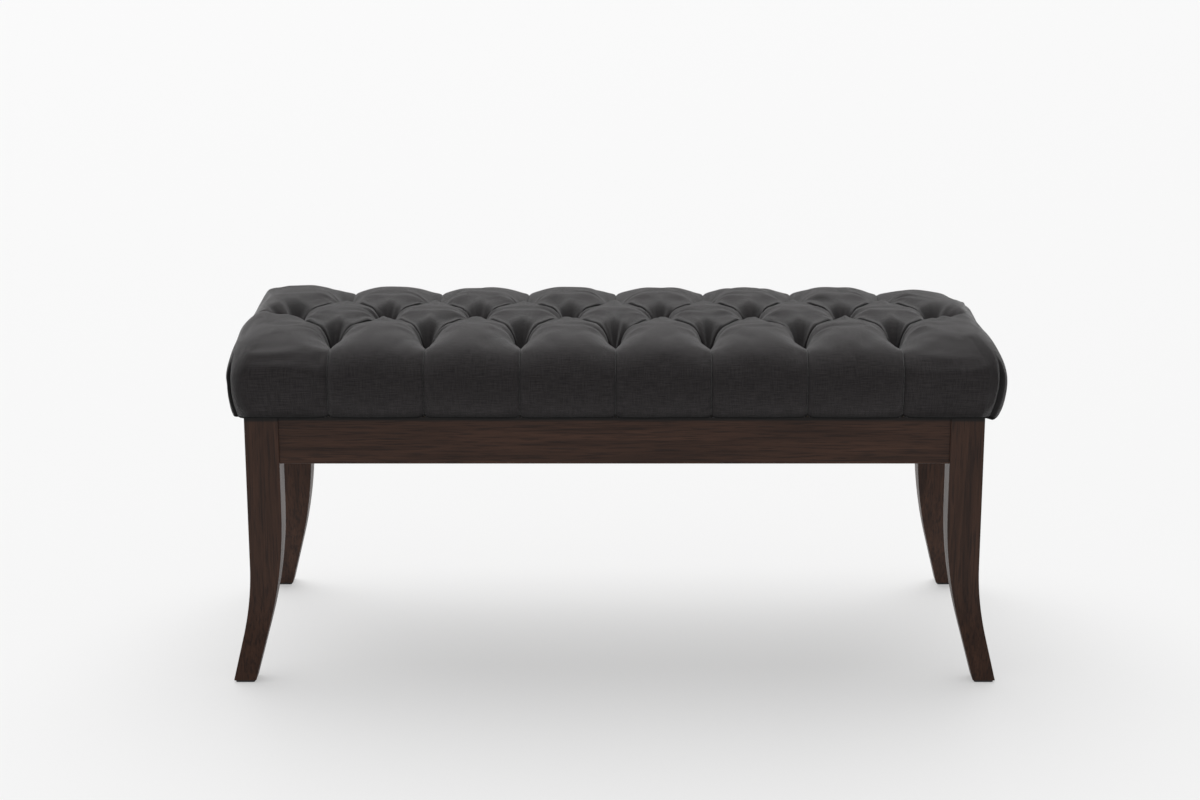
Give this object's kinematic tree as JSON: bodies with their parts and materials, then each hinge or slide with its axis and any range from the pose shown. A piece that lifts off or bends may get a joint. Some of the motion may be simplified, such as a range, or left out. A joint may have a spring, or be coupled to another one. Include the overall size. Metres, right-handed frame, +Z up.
{
  "type": "upholstered bench",
  "caption": "Deep-buttoned upholstered bench: dark charcoal fabric seat pad with diamond tufting on a dark wooden frame of curved sabre legs and plain aprons.",
  "frame": {"origin": "on the floor, under the middle of the bench", "axes": "+X along the bench towards its right-hand end, +Y from front to back, +Z up"},
  "size_m": [1.0024, 0.4124, 0.459],
  "materials": {
    "dark_wood": "satin",
    "raw_wood": "matte",
    "dowel_wood": "matte",
    "plywood": "matte",
    "glide_plastic": "matte",
    "zinc_steel": "satin",
    "black_screw": "satin",
    "foam": "matte",
    "wadding": "matte",
    "charcoal_fabric": "matte",
    "twine": "matte",
    "dust_cloth": "matte"
  },
  "bodies": {
    "root": {"leg_front_left": "dark_wood", "leg_front_right": "dark_wood", "leg_rear_left": "dark_wood", "leg_rear_right": "dark_wood", "apron_front": "dark_wood", "apron_rear": "dark_wood", "apron_left": "dark_wood", "apron_right": "dark_wood", "corner_block_front_left": "raw_wood", "corner_block_front_right": "raw_wood", "corner_block_rear_left": "raw_wood", "corner_block_rear_right": "raw_wood", "centre_rail": "raw_wood", "apron_dowels": "dowel_wood", "rail_dowels": "dowel_wood", "foot_glides": "glide_plastic", "glide_nails": "zinc_steel", "hanger_bolts": "zinc_steel", "hanger_bolt_washers": "zinc_steel", "hanger_bolt_nuts": "zinc_steel", "corner_block_screws": "black_screw", "seat_screws": "black_screw", "seat_board": "plywood", "foam_core": "foam", "wadding": "wadding", "seat_cover": "charcoal_fabric", "buttons_front_row": "charcoal_fabric", "buttons_middle_row": "charcoal_fabric", "buttons_rear_row": "charcoal_fabric", "button_twines": "twine", "twine_anchors": "zinc_steel", "dust_cover": "dust_cloth"}
  },
  "joints": []
}
